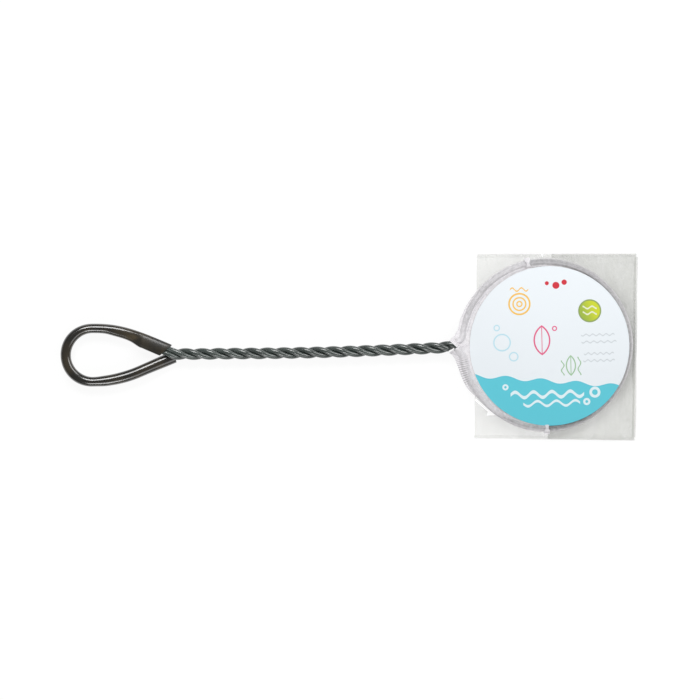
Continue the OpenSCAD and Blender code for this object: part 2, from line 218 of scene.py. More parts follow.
class Maths:
    """A shader socket that adds Math nodes when Python's operators are used on it."""

    def __init__(self, tree, socket):
        self.tree = tree
        self.socket = socket

    def result(self, operation, terms, clamp=False):
        settings = {"operation": operation, "use_clamp": clamp}
        node = add_node(self.tree, "ShaderNodeMath", settings, dict(enumerate(terms)))
        return Maths(self.tree, node.outputs[0])

    def __add__(self, other):
        return self.result("ADD", (self, other))

    __radd__ = __add__

    def __sub__(self, other):
        return self.result("SUBTRACT", (self, other))

    def __rsub__(self, other):
        return self.result("SUBTRACT", (other, self))

    def __mul__(self, other):
        return self.result("MULTIPLY", (self, other))

    __rmul__ = __mul__

    def __neg__(self):
        return self.result("MULTIPLY", (self, -1.0))

    def __abs__(self):
        return self.result("ABSOLUTE", (self,))

    def sin(self):
        return self.result("SINE", (self,))

    def root(self):
        return self.result("SQRT", (self,))

    def highest(self, *others):
        """The highest of all of them."""
        top = self
        for other in others:
            top = self.result("MAXIMUM", (top, other))
        return top

    def clamped(self):
        """Held between 0 and 1."""
        return self.result("ADD", (self, 0.0), clamp=True)

    def ramp(self, start, end):
        """0 at start, 1 at end, smooth between and level beyond. The start may be the larger value."""
        sockets = {"Value": self, "From Min": min(start, end), "From Max": max(start, end)}
        if end < start:
            sockets.update({"To Min": 1.0, "To Max": 0.0})
        node = add_node(self.tree, "ShaderNodeMapRange", {"interpolation_type": "SMOOTHSTEP"}, sockets)
        return Maths(self.tree, node.outputs["Result"])


def distance(across, along):
    """The length of the line with these two sides."""
    return (across * across + along * along).root()


def weave(u, v, pitch):
    """Threads that cross: 1 along their middles and 0 in the holes' middles."""
    warp, weft = (abs((value * (math.pi / pitch)).sin()) for value in (u, v))
    return warp.highest(weft)


def scaled(colour, factor):
    """A paler or darker shade of a colour."""
    return tuple(min(1, c * factor) for c in colour)


class Finish:
    """A procedural material, with the piece's own coordinates in millimetres as where, x, y and z."""

    def __init__(self, name):
        self.material = bpy.data.materials.new(name)
        self.material.use_nodes = True
        self.tree = self.material.node_tree
        self.shader = next(n for n in self.tree.nodes if n.type == "BSDF_PRINCIPLED")
        self.output = next(n for n in self.tree.nodes if n.type == "OUTPUT_MATERIAL")
        own = self.add("ShaderNodeTexCoord").outputs["Object"]
        scale = self.add("ShaderNodeVectorMath", {"operation": "SCALE"}, {0: own, "Scale": 1 / MM})
        self.where = scale.outputs[0]
        self.x, self.y, self.z = self.parts(self.where)

    def add(self, kind, settings=None, sockets=None):
        return add_node(self.tree, kind, settings, sockets)

    def set(self, **values):
        """Sets or links the shader's sockets, which are named with underscores for their spaces."""
        for key, value in values.items():
            feed(self.tree, self.shader.inputs[key.replace("_", " ")], value)

    def parts(self, vector):
        node = self.add("ShaderNodeSeparateXYZ", None, {"Vector": vector})
        return [Maths(self.tree, socket) for socket in node.outputs]

    def cloth(self):
        """The piece's UV map, which holds millimetres of its cloth: two values and the vector."""
        uv = self.add("ShaderNodeUVMap").outputs["UV"]
        return (*self.parts(uv)[:2], uv)

    def stretched(self, vector, x, y, z=1.0):
        node = self.add("ShaderNodeVectorMath", {"operation": "MULTIPLY"}, {0: vector, 1: (x, y, z)})
        return node.outputs[0]

    def noise(self, scale, detail, vector=None, rough=0.5):
        sockets = {"Scale": scale, "Detail": detail, "Roughness": rough}
        sockets["Vector"] = self.where if vector is None else vector
        return Maths(self.tree, self.add("ShaderNodeTexNoise", None, sockets).outputs["Fac"])

    def mix(self, factor, first, second):
        return self.add("ShaderNodeMix", {"data_type": "RGBA"}, {0: factor, 6: first, 7: second}).outputs[2]

    def bump(self, height, distance, strength):
        sockets = {"Height": height, "Distance": distance, "Strength": strength}
        self.set(Normal=self.add("ShaderNodeBump", None, sockets).outputs["Normal"])


def deselect():
    if bpy.context.object and bpy.context.object.mode != "OBJECT":
        bpy.ops.object.mode_set(mode="OBJECT")
    bpy.ops.object.select_all(action="DESELECT")


def only(obj):
    """Selects that piece alone."""
    deselect()
    obj.select_set(True)
    bpy.context.view_layer.objects.active = obj


def edit_all():
    """Opens edit mode on the active piece, with all of it selected."""
    bpy.ops.object.mode_set(mode="EDIT")
    bpy.ops.mesh.select_all(action="SELECT")


def dress(obj, material):
    obj.data.materials.clear()
    obj.data.materials.append(material)


def settle(obj, name, material, body=NET, nodes=()):
    """Names a finished piece, gives it its finish and seats it on its body."""
    obj.name = name
    obj.data.name = name
    dress(obj, material)
    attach(obj, body)
    if nodes:
        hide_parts(*nodes)
    return obj


def points_of(obj):
    values = np.empty(len(obj.data.vertices) * 3)
    obj.data.vertices.foreach_get("co", values)
    return values.reshape(-1, 3)


def move_points(obj, points):
    obj.data.vertices.foreach_set("co", points.ravel())
    obj.data.update()


def cloth_grid(across, along, place, cut):
    """A grid primitive whose points are carried to place(u, v), with its UV map in millimetres."""
    deselect()
    bpy.ops.mesh.primitive_grid_add(x_subdivisions=across, y_subdivisions=along, size=1)
    obj = bpy.context.object
    flat = points_of(obj) + 0.5
    uv = obj.data.uv_layers.active.data
    values = np.empty(len(uv) * 2)
    uv.foreach_get("uv", values)
    uv.foreach_set("uv", (values.reshape(-1, 2) * np.array(cut)).ravel())
    move_points(obj, place(flat[:, 0], flat[:, 1]))
    return obj


def close_seam(obj):
    """Merges a tube's meeting edges and turns its faces outwards."""
    only(obj)
    edit_all()
    bpy.ops.mesh.remove_doubles(threshold=1e-6)
    bpy.ops.mesh.normals_make_consistent(inside=False)
    bpy.ops.object.mode_set(mode="OBJECT")
    bpy.ops.object.shade_smooth()
    return obj


def softened(obj):
    only(obj)
    bpy.ops.object.shade_smooth()
    return obj


def apply_modifier(obj, kind, **settings):
    only(obj)
    modifier = obj.modifiers.new(kind.lower(), kind)
    for key, value in settings.items():
        setattr(modifier, key, value)
    bpy.ops.object.modifier_apply(modifier=modifier.name)


def smooth(value):
    """0 below 0, 1 above 1, and an even swing between."""
    value = np.clip(value, 0, 1)
    return value * value * (3 - 2 * value)


def table_at(value, table):
    """The value that a table of pairs gives there, in between its rows too."""
    return np.interp(value, *zip(*table))


def lengths_along(points):
    """How far each point of a line lies from its start, along the line."""
    return np.concatenate([[0], np.cumsum(np.linalg.norm(np.diff(points, axis=0), axis=1))])


def rays(turn):
    """Level directions at these angles."""
    return np.stack([np.cos(turn), np.sin(turn)], -1)


# The wire's route.

# Each strand's phase, its limb's side, lift and inset, and over what length it leaves the twist,
# before and after the twist's end.
STRANDS = {
    "strand_a": (120, -1, -UNDER_DROP, 0, WIRE_D * 1.16, WIRE_D * 0.77),
    "strand_b": (-120, 1, PAIR_RISE, 0, WIRE_D * 2.68, WIRE_D * 1.42),
    "strand_c": (0, 1, PAIR_RISE, PAIR_STEP, WIRE_D * 1.37, WIRE_D * 1.52),
}
TWIST_STEP = 0.9 * MM
LIMB_START = 0.5 * MM
LIMB_POINTS = 24
THROAT_POINTS = 28


def twist_points(x, phase):
    angle = np.radians(START_PHASE + phase + 360 / PITCH * (x - TWIST_X1))
    bow = -BOW * np.sin(np.pi * np.clip((x - TWIST_X0) / TWIST_L, 0, 1))
    bow = bow - HOOP_DIP * smooth((TWIST_X1 - x) / HOOP_DIP_L)
    bow = bow - LOOP_DIP * smooth((LOOP_DIP_X - x) / LOOP_DIP_L)
    return np.stack([x, bow + STRAND_ORBIT * np.cos(angle), AXIS_Z + STRAND_ORBIT * np.sin(angle)], -1)


def limb_points(x, side, lift, inset):
    fading = 1 - smooth((TWIST_X0 - x) / LIMB_L)
    y = side * (ROOT_Y + (TWIST_X0 - x) * math.tan(LIMB) - inset / math.cos(LIMB))
    return np.stack([x, y - (side > 0) * LIMB_DIP * fading, AXIS_Z + lift * fading], -1)


def strand_points(name, x):
    phase, side, lift, inset, before, after = STRANDS[name]
    share = smooth((TWIST_X0 + before - x) / (before + after))[:, None]
    return twist_points(x, phase) * (1 - share) + limb_points(x, side, lift, inset) * share


def throat_points(phase, side):
    """The bend between the hoop and the twist, from the hoop inwards."""
    angle = np.linspace(THROAT_ANGLE, 0, THROAT_POINTS, endpoint=False)
    turn = np.radians(angle)
    spin = np.radians(START_PHASE + phase) + 2 * np.pi / PITCH * THROAT_R * turn
    reach = STRAND_ORBIT * (1 - smooth((angle / THROAT_ANGLE - 0.25) / 0.75))
    aside = reach * np.cos(spin)
    return np.stack([
        TWIST_X1 + THROAT_R * np.sin(turn) - side * np.sin(turn) * aside,
        side * THROAT_R * (1 - np.cos(turn)) + np.cos(turn) * aside,
        AXIS_Z + reach * np.sin(spin)], -1)


def side_points(count, side):
    """The loop's side bend, from its limb to the nose."""
    turn = np.radians(np.linspace(math.degrees(LIMB), 0, count))
    y = side * (NOSE_R - SIDE_R * (1 - np.cos(turn)))
    return np.stack([NOSE_X + SIDE_R * np.sin(turn), y, AXIS_Z + 0 * turn], -1)


def nose_points(count):
    turn = np.radians(np.linspace(90, 270, count))
    return np.stack([NOSE_X + NOSE_R * np.cos(turn), NOSE_R * np.sin(turn), AXIS_Z + 0 * turn], -1)


def strand_route(name, end_x, throat_side=0):
    """A strand from the hoop, or from its cut end where it has no throat, to its end in the loop."""
    twist = np.arange(TWIST_X1, TWIST_X0, -TWIST_STEP)
    limb = np.linspace(TWIST_X0 - LIMB_START, end_x, LIMB_POINTS)
    if throat_side:
        throat = throat_points(STRANDS[name][0], throat_side)
        return np.vstack([throat, strand_points(name, np.concatenate([twist, limb]))])
    cut_x = TWIST_X1 - WIRE_D / 4
    twist = twist[twist < cut_x - TWIST_STEP / 3]
    return strand_points(name, np.concatenate([[cut_x], twist, limb]))


ROUTES = {
    "strand_a": strand_route("strand_a", LIMB_X),
    "strand_b": strand_route("strand_b", LIMB_X, throat_side=1),
    "strand_c": strand_route("strand_c", STUB_X, throat_side=-1),
}


def tube(route, radius, sides):
    """A round wire along the route, swept as a bevelled path and made a mesh."""
    deselect()
    bpy.ops.curve.primitive_nurbs_path_add()
    obj = bpy.context.object
    curve = obj.data
    curve.splines.clear()
    line = curve.splines.new("POLY")
    line.points.add(len(route) - 1)
    line.points.foreach_set("co", np.hstack([route, np.ones((len(route), 1))]).ravel())
    curve.dimensions = "3D"
    curve.twist_mode = "MINIMUM"
    curve.bevel_depth = radius
    curve.bevel_resolution = sides // 2 - 2
    only(obj)
    bpy.ops.object.convert(target="MESH")
    edit_all()
    bpy.ops.mesh.fill_holes(sides=0)
    return close_seam(bpy.context.object)


class NET_OT_wire(bpy.types.Operator):
    """Sweeps the three twisted strands in their plastic coat and finishes the hidden wire"""

    bl_idname = "net.wire"
    bl_label = "Coated wire"

    coat_rim = 0.42 * MM
    core_depth = 0.9 * MM
    core_wall = 0.0001 * MM

    def execute(self, context):
        wish = context.scene.net_wire
        coat, steel = self.coat(wish), self.steel(wish)
        for name, route in ROUTES.items():
            obj = tube(route, STRAND_R, wish.sides)
            self.open_cut(obj)
            settle(obj, name, coat, nodes=[name + "_coat"])
        for name in ("hoop_coat", "loop_coat"):
            dress(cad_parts[name], coat)
        for name in ("hoop_core", "loop_core", "strand_a_core", "strand_b_core", "strand_c_core"):
            dress(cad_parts[name], steel)
        return {"FINISHED"}

    def coat(self, wish):
        """Satin plastic with paler patches."""
        coat = Finish("satin_coat")
        patches = coat.noise(0.16, 3)
        pale = tuple(c * 2.2 + 0.010 for c in wish.coat_colour)
        coat.set(Base_Color=coat.mix((patches * 1.6 - 0.4).clamped(), wish.coat_colour, pale),
                 Roughness=wish.coat_roughness + (patches - 0.5) * 0.12,
                 Specular_IOR_Level=0.9, Coat_Weight=0.8, Coat_Roughness=0.16)
        coat.bump(coat.noise(0.30, 1), 0.10 * MM, 0.4)
        return coat.material

    def steel(self, wish):
        """Drawn steel wire."""
        steel = Finish("drawn_steel")
        lines = steel.noise(1.5, 2, steel.stretched(steel.where, 6, 6, 6))
        steel.set(Base_Color=steel.mix(lines, scaled(wish.steel_colour, 0.8), wish.steel_colour),
                  Metallic=1.0, Roughness=0.28 + lines * 0.15)
        steel.bump(lines, 0.02 * MM, 0.4)
        return steel.material

    def open_cut(self, obj):
        """Sinks a hole into both end caps, in which the steel core shows."""
        only(obj)
        bpy.ops.object.mode_set(mode="EDIT")
        bpy.ops.mesh.select_mode(type="FACE")
        bpy.ops.mesh.select_all(action="DESELECT")
        bpy.ops.object.mode_set(mode="OBJECT")
        caps = [p for p in obj.data.polygons if len(p.vertices) > 6]
        if len(caps) != 2:
            raise RuntimeError(f"{obj.name} has {len(caps)} end caps, and a wire has two")
        for cap in caps:
            cap.select = True
        bpy.ops.object.mode_set(mode="EDIT")
        bpy.ops.mesh.inset(thickness=self.coat_rim, use_individual=True)
        bpy.ops.mesh.inset(thickness=self.core_wall, depth=-self.core_depth, use_individual=True)
        bpy.ops.object.mode_set(mode="OBJECT")


# The sleeve's ends, measured from the twist's end, and how many points its route has in each stretch.
WIDE_END_X = TWIST_X0 - WIRE_D * 1.05
LOW_END_X = TWIST_X0 + WIRE_D * 0.32
SLEEVE_LIMB_POINTS, SLEEVE_SIDE_POINTS, SLEEVE_NOSE_POINTS = 40, 26, 60
# How far the sleeve has widened from one wire to two, by x in millimetres.
SLEEVE_SWELL = (
    (-264, 0), (-261, 0.10), (-258, 0.24), (-252, 0.40), (-249, 0.50), (-246.7, 0.62),
    (-245, 0.76), (-243, 0.92), (-241.3, 1.02), (-239.5, 0.97), (-235, 1.0),
)
# How much stouter it is at the nose, along the lower limb and towards its lower end.
NOSE_SWELL, LIMB_SWELL, END_SWELL = 0.28 * MM, 0.35 * MM, 0.45 * MM
NOSE_SWELL_X, NOSE_SWELL_L, LIMB_SWELL_L = NOSE_X - 15 * MM, 9 * MM, 8 * MM
SLEEVE_RIPPLE = 0.05 * MM
SLEEVE_TOP_R = 2.9 * MM
PAIR_ROOM = 0.12 * MM
PAIR_FLATNESS = 2.2


class NET_OT_sleeve(bpy.types.Operator):
    """Lofts the vinyl sleeve round the finger loop, wide over two wires and narrow over one"""

    bl_idname = "net.sleeve"
    bl_label = "Vinyl sleeve"

    def execute(self, context):
        wish = context.scene.net_sleeve
        route = self.route()
        along = np.gradient(route, axis=0)
        along /= np.linalg.norm(along, axis=1)[:, None]
        aside = np.cross([0.0, 0.0, 1.0], along)
        aside /= np.linalg.norm(aside, axis=1)[:, None]
        up = np.cross(along, aside)
        length = lengths_along(route)
        steps = length / length[-1]
        over_pair = np.where(route[:, 1] > 0, table_at(route[:, 0] / MM, SLEEVE_SWELL), 0)
        girth = self.girth(wish, route)
        pair_r = WIRE_R + PAIR_ROOM + wish.wall * 0.8

        def place(u, v):
            """Round the sleeve with u, and along it from its wide end with v."""
            turn = 2 * np.pi * u
            middle, side, top, ahead = (
                np.stack([np.interp(v, steps, values) for values in part.T], -1)
                for part in (route, aside, up, along))
            pair = np.interp(v, steps, over_pair)
            radius = np.interp(v, steps, girth) + SLEEVE_RIPPLE * np.sin(v * 34)
            wide = PAIR_STEP / 2 * pair
            stretch = np.tanh(PAIR_FLATNESS * np.cos(turn)) / math.tanh(PAIR_FLATNESS)
            across = radius * np.cos(turn) + wide * (stretch + 1)
            lift = (np.minimum(radius, SLEEVE_TOP_R) * (1 - pair) + pair_r * pair) * np.sin(turn)
            skew = np.where(v < 0.1, (across - wide) * 0.45 * smooth(1 - v / 0.03), 0)
            return middle + side * across[:, None] + top * lift[:, None] + ahead * skew[:, None]

        obj = cloth_grid(48, 300, place, (2 * math.pi * wish.outer / MM, length[-1] / MM))
        close_seam(obj)
        apply_modifier(obj, "SOLIDIFY", thickness=wish.wall * 0.9, offset=-1.0)
        bpy.ops.object.shade_smooth_by_angle(angle=math.radians(40))
        settle(obj, "loop_sleeve_vinyl", self.vinyl(wish), nodes=["loop_sleeve"])
        return {"FINISHED"}

    def route(self):
        """The loop's centre line, from the sleeve's wide end round the nose to its lower end."""
        upper = strand_points("strand_b", np.linspace(WIDE_END_X, LIMB_X, SLEEVE_LIMB_POINTS))
        lower = limb_points(np.linspace(LIMB_X, LOW_END_X, SLEEVE_LIMB_POINTS), -1, -UNDER_DROP, 0)
        stretches = (upper, side_points(SLEEVE_SIDE_POINTS, 1), nose_points(SLEEVE_NOSE_POINTS),
                     side_points(SLEEVE_SIDE_POINTS, -1)[::-1])
        return np.vstack([*(points[:-1] for points in stretches), lower])

    def girth(self, wish, route):
        """The sleeve's radius over one wire, at each point of the route."""
        past_nose = route[:, 0] - NOSE_X
        lower = route[:, 1] < 0
        to_end = np.clip(past_nose / (LOW_END_X - NOSE_X), 0, 1) * lower
        at_nose = np.exp(-(((route[:, 0] - NOSE_SWELL_X) / NOSE_SWELL_L) ** 2))
        return (wish.outer + NOSE_SWELL * at_nose + LIMB_SWELL * lower * smooth(past_nose / LIMB_SWELL_L)
                + END_SWELL * to_end**1.5)

    def vinyl(self, wish):
        """Glossy, nearly black vinyl with warm streaks, dulled where it is stretched over the pair."""
        vinyl = Finish("glossy_vinyl")
        x, y = vinyl.x, vinyl.y
        streak = vinyl.noise(0.11, 3)
        # A painted glow of light through the thin vinyl near the stub's end: a warm brown patch there.
        stub_glow = distance((x + 248.0) * 0.16, (y - 10.0) * 0.42).ramp(1.0, 0.1)
        warm = tuple(min(1, c * 3.2 + a) for c, a in zip(wish.colour, (0.037, 0.025, 0.011)))
        tone = ((streak * 2.4 - 0.95).clamped() * 0.8 + stub_glow * 0.9).clamped()
        dulled = x.ramp(-244.5, -240.5) * y.ramp(1.0, 3.0)
        vinyl.set(Base_Color=vinyl.mix(tone, wish.colour, warm),
                  Roughness=0.16 + (vinyl.noise(0.2, 2) * 0.08) + dulled * 0.20,
                  Coat_Weight=1.0 - dulled * 0.85, Specular_IOR_Level=0.8, Coat_Roughness=0.19)
        vinyl.bump(vinyl.noise(0.06, 0), 0.3 * MM, 0.3)
        return vinyl.material


# How the hem's casing lies: how much further than its slack it stands out, in millimetres, by angle.
SLACK_BY_ANGLE = (
    (-180, 2.3), (-166, 2.1), (-152, 1.6), (-147, 0.5), (-143, -0.35), (-128, -0.4), (-118, -0.2),
    (-100, 0.2), (-60, 0.0), (-20, 0.2), (0, 0.5), (20, 0.2), (60, -0.1), (100, 0.1), (130, 0.0),
    (150, 0.7), (165, 1.4), (180, 1.8),
)
# The casing's gathered ends at the handle: points of its outer and its inner edge, in millimetres.
UPPER_GATHERS = (
    ((-52.4, 10.3), (-43.6, 9.2)),
    ((-54.3, 6.9), (-44.4, 4.4)),
    ((-56.3, 5.0), (-45.0, -0.6)),
    ((-57.8, 3.8), (-53.5, -0.4)),
)
LOWER_GATHERS = (
    ((-51.3, -16.6), (-42.3, -13.9)),
    ((-53.3, -10.6), (-43.6, -9.2)),
    ((-54.6, -7.2), (-44.4, -3.4)),
    ((-56.0, -4.9), (-45.2, 1.8)),
    ((-57.9, -3.5), (-53.4, -0.3)),
)
CASING_STEP = 0.5 * MM
CASING_POINTS_ROUND = 60
CASING_GAP = 0.28 * MM
CASING_REST = 0.30 * MM
LOWER_END_OVER = 0.32 * MM
STITCHED_EDGE = 3 * MM
THROAT_LIFT, THROAT_LIFT_X, THROAT_LIFT_L = 0.2 * MM, -46 * MM, 6 * MM
OVER_WIRE = 0.5 * MM
PUCKER_H, PUCKER_X, PUCKER_L = 0.10 * MM, -10 * MM, 30 * MM
PUCKER_WAVE, PUCKER_CROSS_WAVE = 5.1 * MM, 2.3 * MM
RIB_H, RIB_PITCH = 0.16 * MM, 1.02 * MM
CLOUD_STEP_ANGLE = 0.4
CLOUD_X0 = -64 * MM


def wire_cloud():
    """Points of the wires near the hoop, which the hem's cloth lies over."""
    angles = np.radians(np.arange(HOOP_GAP - 180, 180 - HOOP_GAP, CLOUD_STEP_ANGLE))
    hoop = np.column_stack([HOOP_R * rays(angles), AXIS_Z + 0 * angles])
    return np.vstack([hoop, *(route[route[:, 0] > CLOUD_X0] for route in ROUTES.values())])


def envelope(flat, clearance, sign, at_once=2000):
    """Height of cloth laid on the wires from above, or from below where sign is -1."""
    cloud = wire_cloud()
    reach = WIRE_R + clearance
    height = np.empty(len(flat))
    for start in range(0, len(flat), at_once):
        part = slice(start, start + at_once)
        gap = ((flat[part, None] - cloud[None, :, :2]) ** 2).sum(axis=2)
        lift = np.sqrt(np.clip(reach**2 - gap, 0, None))
        touch = np.where(gap < reach**2, sign * (cloud[None, :, 2] - AXIS_Z) + lift, -1)
        height[part] = np.maximum(CASING_REST, touch.max(axis=1))
    return height


class NET_OT_hem(bpy.types.Operator):
    """Lays the gauze hem over the hoop in three lengths, gathered at the handle"""

    bl_idname = "net.hem"
    bl_label = "Gauze hem"

    def execute(self, context):
        wish = context.scene.net_hem
        near = self.gauze(wish, "gathered_gauze", 0.44, 0.34)
        far = self.gauze(wish, "tight_gauze", 0.24, 0.30)
        bound = self.gauze(wish, "tie_gauze", 0.62, 0.38)
        ties = [self.tie(bound, "seam_end_upper", 101.0, 7.5 * MM),
                self.tie(bound, "seam_end_lower", -90.3, 8.0 * MM)]
        self.casing(wish, near, "hem_near_upper", 101.3, 163, UPPER_GATHERS,
                    ["near_hem_upper", "hem_throat"])
        self.casing(wish, near, "hem_near_lower", -91.0, -157, LOWER_GATHERS,
                    ["near_hem_lower"], over=LOWER_END_OVER)
        self.casing(wish, far, "hem_far", -90.2, 100.8, (), ["far_hem"], ties=ties)
        return {"FINISHED"}

    def gauze(self, wish, name, base, thread_cover):
        """Fine woven cloth: base is how much it covers between the threads."""
        finish = Finish(name)
        u, v, uv = finish.cloth()
        x, y = finish.x, finish.y
        threads = weave(u, v, wish.pitch / MM).ramp(0.55, 0.95)
        puckers = finish.noise(0.5, 3, finish.stretched(finish.where, 1, 1, 0.2))
        fold_shade = finish.noise(1.0, 3, finish.stretched(uv, 0.10, 0.9))
        # Painted shade of the puckers and folds: the gauze is a little darker in their hollows.
        tone = (puckers * 0.9 + fold_shade * 1.1 - 0.48).clamped()
        cloth = finish.mix(tone, scaled(wish.colour, 0.90), wish.colour)
        # Painted shade in the furrows between the ribs of the cloth that is gathered below the handle.
        ribs = abs((u * (math.pi / 1.25)).sin()).ramp(0.15, 0.85)
        gathered = (-y).ramp(6.0, 9.0) * (-y).ramp(27.0, 20.0) * (-x).ramp(45.5, 48.0)
        colour = finish.mix(gathered * (1.0 - ribs) * 0.8, cloth, scaled(wish.colour, 0.45))
        # Below, the cloth is thin inside the wire and dense outside it. Above, it is dense inside.
        rim = distance(x, y)
        drawn = y.ramp(-38.0, -46.0) * (rim.ramp(51.2, 52.2) * 0.15 - rim.ramp(51.2, 50.2) * 0.26)
        drawn = drawn + y.ramp(34.0, 46.0) * rim.ramp(50.2, 49.2) * 0.15
        doubled = gathered * 0.1 + x.ramp(-46.0, -53.0) * 0.22
        cover = base + threads * thread_cover + (puckers - 0.5) * 0.34 + doubled + drawn
        finish.set(Base_Color=colour, Roughness=0.62, Alpha=cover.clamped(), Sheen_Weight=0.25)
        finish.bump(threads * 0.3 + puckers * 0.7, 0.12 * MM, 0.7)
        return finish.material

    def edges(self, wish, start, end, gathers):
        """The casing's outer and inner edge, degree by degree and then through its gathered end."""
        angles = np.linspace(start, end, max(8, int(abs(end - start))))
        outer_r = HOOP_R + wish.slack + table_at(angles, SLACK_BY_ANGLE) * MM
        outer = rays(np.radians(angles)) * outer_r[:, None]
        inner = rays(np.radians(angles)) * (HOOP_R - wish.flange)
        for outer_end, inner_end in gathers:
            outer = np.vstack([outer, np.array(outer_end) * MM])
            inner = np.vstack([inner, np.array(inner_end) * MM])
        return outer, inner

    def casing(self, wish, material, name, start, end, gathers, nodes, over=0.0, ties=()):
        """One length of the hem, which stands over the next length's end by that much."""
        outer, inner = self.edges(wish, start, end, gathers)
        steps = lengths_along((outer + inner) / 2)
        total = steps[-1]

        def place(u, v):
            """Along the hem with u, and with v from its inner edge over the wire and back under it."""
            out = np.sin((1 - np.abs(2 * v - 1)) * np.pi / 2) ** 1.15
            inside, outside = (
                np.stack([np.interp(u * total, steps, values) for values in edge.T], -1)
                for edge in (inner, outer))
            flat = inside + (outside - inside) * out[:, None]
            top = v < 0.5
            high = np.empty(len(v))
            for side, sign in ((top, 1), (~top, -1)):
                high[side] = envelope(flat[side], CASING_GAP + over, sign)
            throat = smooth((THROAT_LIFT_X - flat[:, 0]) / THROAT_LIFT_L)
            high = high + THROAT_LIFT * throat * (high > OVER_WIRE)
            round_off = np.sqrt(1 - (1 - np.clip((1 - out) / 0.10, 0, 1)) ** 2)
            closing = 0.35 + 0.65 * np.clip(out / 0.06, 0, 1)
            relief = self.ribs(flat, u * total) + self.puckers(flat, u * total, out)
            high = high * round_off * closing + relief * smooth(out * 3) * round_off
            return np.column_stack([flat, AXIS_Z + np.where(top, high + over * 0.6, -high)])

        obj = cloth_grid(int(total / CASING_STEP), CASING_POINTS_ROUND, place, (total / MM, 16))
        apply_modifier(obj, "SMOOTH", factor=0.5, iterations=3)
        close_seam(obj)
        settle(obj, name, material, nodes=nodes)
        wide = 2 * float(np.linalg.norm(outer[0] - inner[0])) + STITCHED_EDGE

    def ribs(self, flat, along):
        """Even ribs in the gathered cloth below the handle."""
        angle = np.degrees(np.arctan2(flat[:, 1], flat[:, 0]))
        gathered = smooth((np.abs(angle) - 150) / 8) * smooth((178 - np.abs(angle)) / 4) * (flat[:, 1] < 0)
        return np.sin(along / RIB_PITCH * 2 * np.pi) * RIB_H * gathered

    def puckers(self, flat, along, out):
        """Loose puckers, towards the handle."""
        near = smooth((PUCKER_X - flat[:, 0]) / PUCKER_L)
        return np.sin(along / PUCKER_WAVE) * np.sin(along / PUCKER_CROSS_WAVE + 5 * out) * PUCKER_H * near

    def tie(self, material, name, angle, length):
        """The short bound end of a side seam, which stands over the hem."""
        ray = rays(math.radians(angle))
        across = np.array([-ray[1], ray[0]])
        inset, hump_l, hump_h = 0.6 * MM, 2.6 * MM, 1.75 * MM
        rest, thick = 0.45 * MM, 0.28 * MM

        def place(u, v):
            out = (u - 0.5) * length + HOOP_R - inset
            turn = 2 * np.pi * v
            wide = (1.35 + 0.45 * np.sin(u * 9)) * MM
            flat = ray * out[:, None] + across * (wide * np.cos(turn))[:, None]
            hump = np.sqrt(np.clip(1 - ((out - HOOP_R) / hump_l) ** 2, 0, 1)) * hump_h
            return np.column_stack([flat, AXIS_Z + rest + hump + thick * np.sin(turn)])

        obj = cloth_grid(30, 16, place, (length / MM, 5))
        return settle(close_seam(obj), name, material)


class NET_OT_stitches(bpy.types.Operator):
    """Runs white stitches round the hem's inner edge"""

    bl_idname = "net.stitches"
    bl_label = "Hem stitches"

    stitch_r = 0.16 * MM
    stretch = 6.2
    inset = 0.15 * MM
    lift = 0.62 * MM
    step_angle = 2.75
    end_angle = 170.0

    def execute(self, context):
        deselect()
        bpy.ops.mesh.primitive_uv_sphere_add(segments=8, ring_count=6, radius=self.stitch_r)
        stitch = bpy.context.object
        edit_all()
        bpy.ops.transform.resize(value=(1, self.stretch, 1), center_override=(0, 0, 0))
        bpy.ops.object.mode_set(mode="OBJECT")
        bpy.ops.object.shade_smooth()
        radius = (thread_high.y - thread_low.y) / 2 - self.inset
        x, y, z = points_of(stitch).T
        made = []
        for turn in np.radians(np.arange(-self.end_angle, self.end_angle, self.step_angle)):
            copy = stitch.copy()
            copy.data = stitch.data.copy()
            context.collection.objects.link(copy)
            c, s = math.cos(turn), math.sin(turn)
            move_points(copy, np.column_stack([
                x * c - y * s + radius * c, x * s + y * c + radius * s, z + AXIS_Z + self.lift]))
            made.append(copy)
        bpy.data.objects.remove(stitch)
        only(made[0])
        for obj in made:
            obj.select_set(True)
        bpy.ops.object.join()
        settle(context.object, "hem_stitches", self.thread(), nodes=["hem_thread"])
        return {"FINISHED"}

    def thread(self):
        thread = Finish("sewing_thread")
        twist = thread.noise(6.0, 2)
        thread.set(Base_Color=thread.mix(twist, (0.62, 0.61, 0.66), (0.85, 0.85, 0.88)), Roughness=0.6)
        thread.bump(twist, 0.05 * MM, 0.6)
        return thread.material


# The folded bag's corners as it lies, a little out of square: lower left and right, then upper.
BAG_CORNERS = np.array([[(-43.9, -55.4), (53.3, -59.0)], [(-39.3, 55.6), (57.1, 53.7)]]) * MM
BAG_W, BAG_H = 96 * MM, 111.4 * MM
HALF_W, HALF_H = BAG_W / 2, BAG_H / 2
SEAM_W = 2.2 * MM
# How far the layers stop short of the bag's end and of its sides, inside the seams.
END_INSET, SIDE_INSET = SEAM_W * 0.4, SEAM_W * 0.1
# The layers' heights, and the fold that joins the second layer to the third.
NEAR_Z, FAR_Z = 0.24 * MM, 1.05 * MM
FOLD_X, FOLD_R = -3.5 * MM, 0.4 * MM
FAR_RUN, FOLD_ARC = HALF_W - END_INSET - FOLD_X, math.pi * FOLD_R
FAR_W = 2 * FAR_RUN + FOLD_ARC
# The heights between which each seam lies, and how far its line sways.
SIDE_SEAM_Z, END_SEAM_Z = (0.25 * MM, 1.25 * MM), (0.26 * MM, 1.90 * MM)
SEAM_SWAY = 0.12 * MM
NEEDLE_DEPTH, NEEDLE_PITCH = 0.14 * MM, 1.1 * MM
NECK_INSET, NECK_DROP = 5.0 * MM, 0.45 * MM


